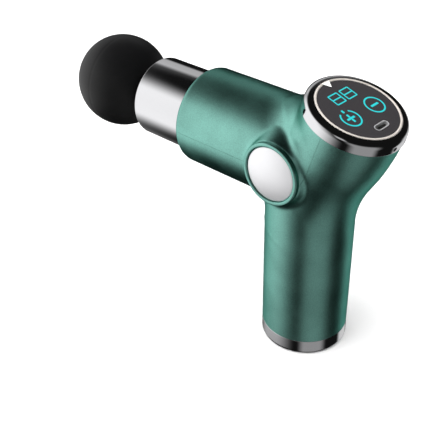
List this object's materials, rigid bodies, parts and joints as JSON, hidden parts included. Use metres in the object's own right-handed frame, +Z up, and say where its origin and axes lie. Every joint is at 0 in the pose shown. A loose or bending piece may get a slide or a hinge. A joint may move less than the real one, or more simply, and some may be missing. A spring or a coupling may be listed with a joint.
{
  "type": "massage gun",
  "caption": "Handheld percussive massager: round handle, angled round touch display, horizontal barrel with a sliding sleeve nose and a ball head.",
  "frame": {"origin": "centre of the flat base under the handle", "axes": "+Z up along the handle; the barrel and the ball head point to -X; the display faces up and to the rear, +X; left side is -Y"},
  "size_m": [0.201, 0.0548, 0.1422],
  "materials": {
    "green_shell": "satin metallic green lacquer",
    "chrome": "bright chrome plate",
    "satin_cap": "pearl silver satin",
    "bright_trim": "polished",
    "marker_white": "printed white",
    "display_glass": "glossy smoked",
    "light_guide": "lit cyan",
    "black_plastic": "fine texture",
    "grey_plastic": "moulded glass filled nylon",
    "ball_rubber": "matte moulded foam skin",
    "stem_plastic": "moulded",
    "seal_rubber": "matte",
    "screw_steel": "black zinc plate",
    "plain_steel": "ground",
    "magnet": "nickel plate",
    "copper_wire": "enamelled winding",
    "bronze": "sintered bronze",
    "aluminium": "machined",
    "cell_wrap": "shrink sleeve",
    "nickel": "nickel strip",
    "circuit_board": "solder mask",
    "chip_black": "moulded epoxy",
    "wire_red": "silicone insulation"
  },
  "bodies": {
    "housing": {"base_cap": "chrome", "base_pad": "seal_rubber", "base_screws": "screw_steel", "battery_cells": "cell_wrap", "battery_leads": "wire_red", "bearing_plate": "grey_plastic", "bezel": "chrome", "bezel_set_screws": "screw_steel", "board_components": "chip_black", "board_screws": "screw_steel", "cap_ring_left": "green_shell", "cap_ring_right": "green_shell", "cap_screws_left": "screw_steel", "cap_screws_right": "screw_steel", "cell_tabs": "nickel", "control_board": "circuit_board", "digit_light_guides": "light_guide", "display_frame": "grey_plastic", "display_lens": "display_glass", "guide_bush": "bronze", "guide_housing": "black_plastic", "icon_light_guides": "light_guide", "light_spacer": "black_plastic", "lower_cell_holder": "grey_plastic", "lower_shell": "green_shell", "motor_bearings": "plain_steel", "motor_mount": "grey_plastic", "nose_collar": "black_plastic", "nose_sleeve": "chrome", "plunger_wiper": "seal_rubber", "protection_board": "circuit_board", "side_cap_left": "satin_cap", "side_cap_right": "satin_cap", "stator_core": "plain_steel", "stator_windings": "copper_wire", "support_bearing": "plain_steel", "trim_marker": "marker_white", "trim_ring": "bright_trim", "upper_cell_holder": "grey_plastic", "upper_shell": "green_shell", "usb_port_shell": "plain_steel", "usb_port_tongue": "black_plastic"},
    "crank": {"eccentric_crank": "plain_steel", "outer_counterweight": "plain_steel", "motor_shaft": "plain_steel", "rotor_can": "plain_steel", "rotor_magnets": "magnet"},
    "rod": {"con_rod": "aluminium", "rod_bearing": "plain_steel"},
    "plunger": {"plunger": "aluminium", "wrist_pin": "plain_steel"},
    "massage_head": {"massage_ball": "ball_rubber", "head_stem": "stem_plastic", "stem_o_rings": "seal_rubber"}
  },
  "joints": [
    {"name": "plunger_slide", "type": "slide", "parent": "housing", "child": "plunger", "axis": [-1, 0, 0], "range_m": [0, 0.006]},
    {"name": "crank_spin", "type": "hinge", "parent": "housing", "child": "crank", "pos_m": [-0.0044, 0, 0.1032], "axis": [0, 1, 0], "continuous": true},
    {"name": "rod_pivot", "type": "hinge", "parent": "crank", "child": "rod", "pos_m": [-0.0014, 0, 0.1032], "axis": [0, 1, 0], "continuous": true},
    {"name": "head_pull", "type": "slide", "parent": "plunger", "child": "massage_head", "axis": [-1, 0, 0], "range_m": [0, 0.025]}
  ],
  "couplings": [
    {"joint": "crank_spin", "follows": "plunger_slide", "rad_per_m": 523.6},
    {"joint": "rod_pivot", "follows": "plunger_slide", "rad_per_m": -523.6}
  ]
}
